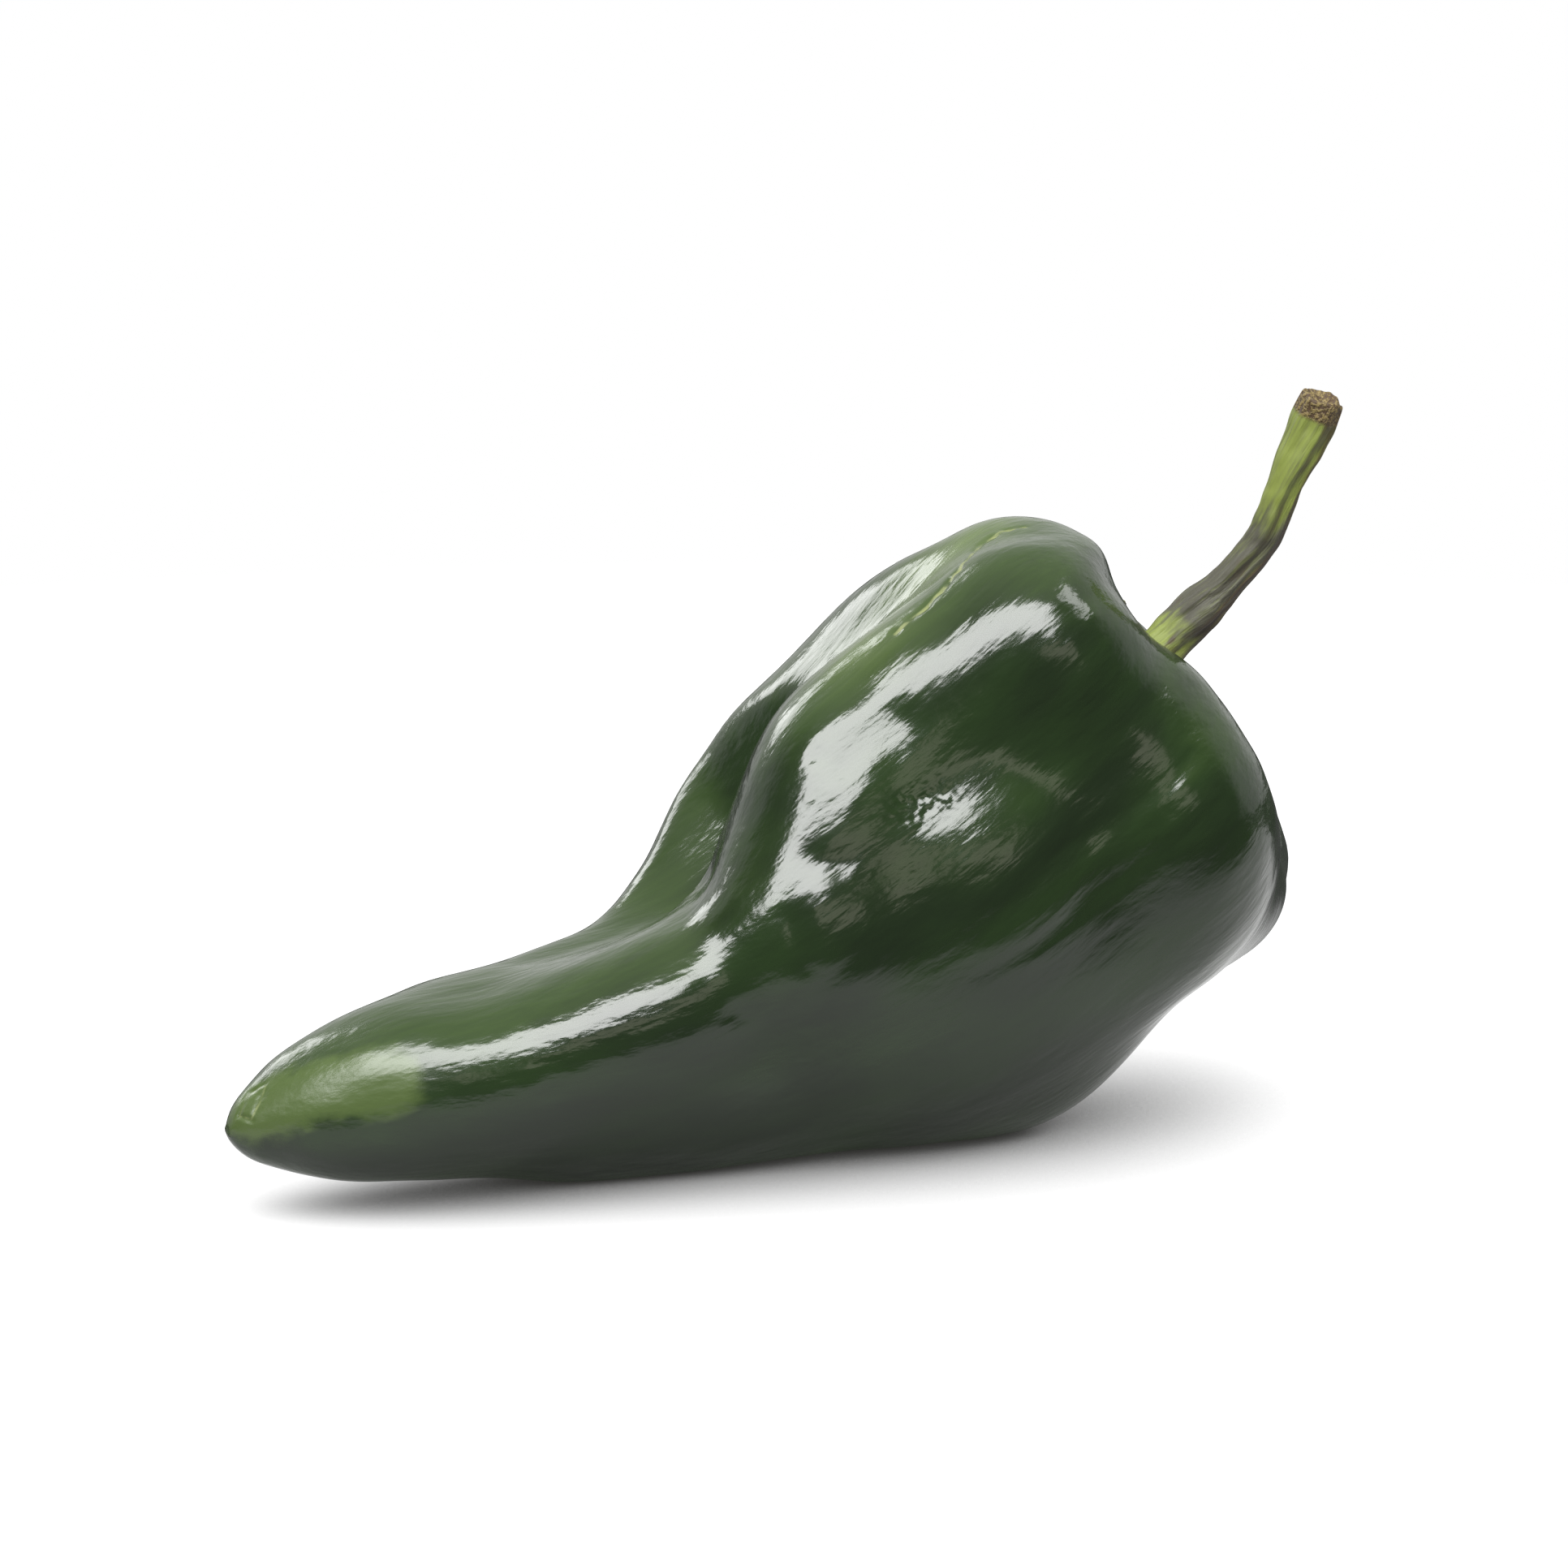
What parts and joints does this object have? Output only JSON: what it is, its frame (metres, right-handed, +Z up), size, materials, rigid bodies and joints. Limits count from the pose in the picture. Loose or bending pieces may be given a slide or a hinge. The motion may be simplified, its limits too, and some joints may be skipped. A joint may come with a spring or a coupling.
{
  "type": "poblano pepper",
  "caption": "Whole fresh poblano pepper lying on its side: a broad lobed shoulder tapers through a folded waist to a blunt tip, with a toothed cap and a curved stalk.",
  "frame": {"origin": "under the middle of the whole pepper, on the surface that it lies on", "axes": "+X from the tip towards the stalk end, +Y to the left when looking along +X, +Z up"},
  "size_m": [0.1538, 0.0618, 0.0917],
  "materials": {
    "skin": "waxy, glossy dark green skin",
    "stalk": "dull green and grey-brown ridged stalk"
  },
  "bodies": {
    "root": {"fruit": "skin", "stem": "stalk"}
  },
  "joints": []
}
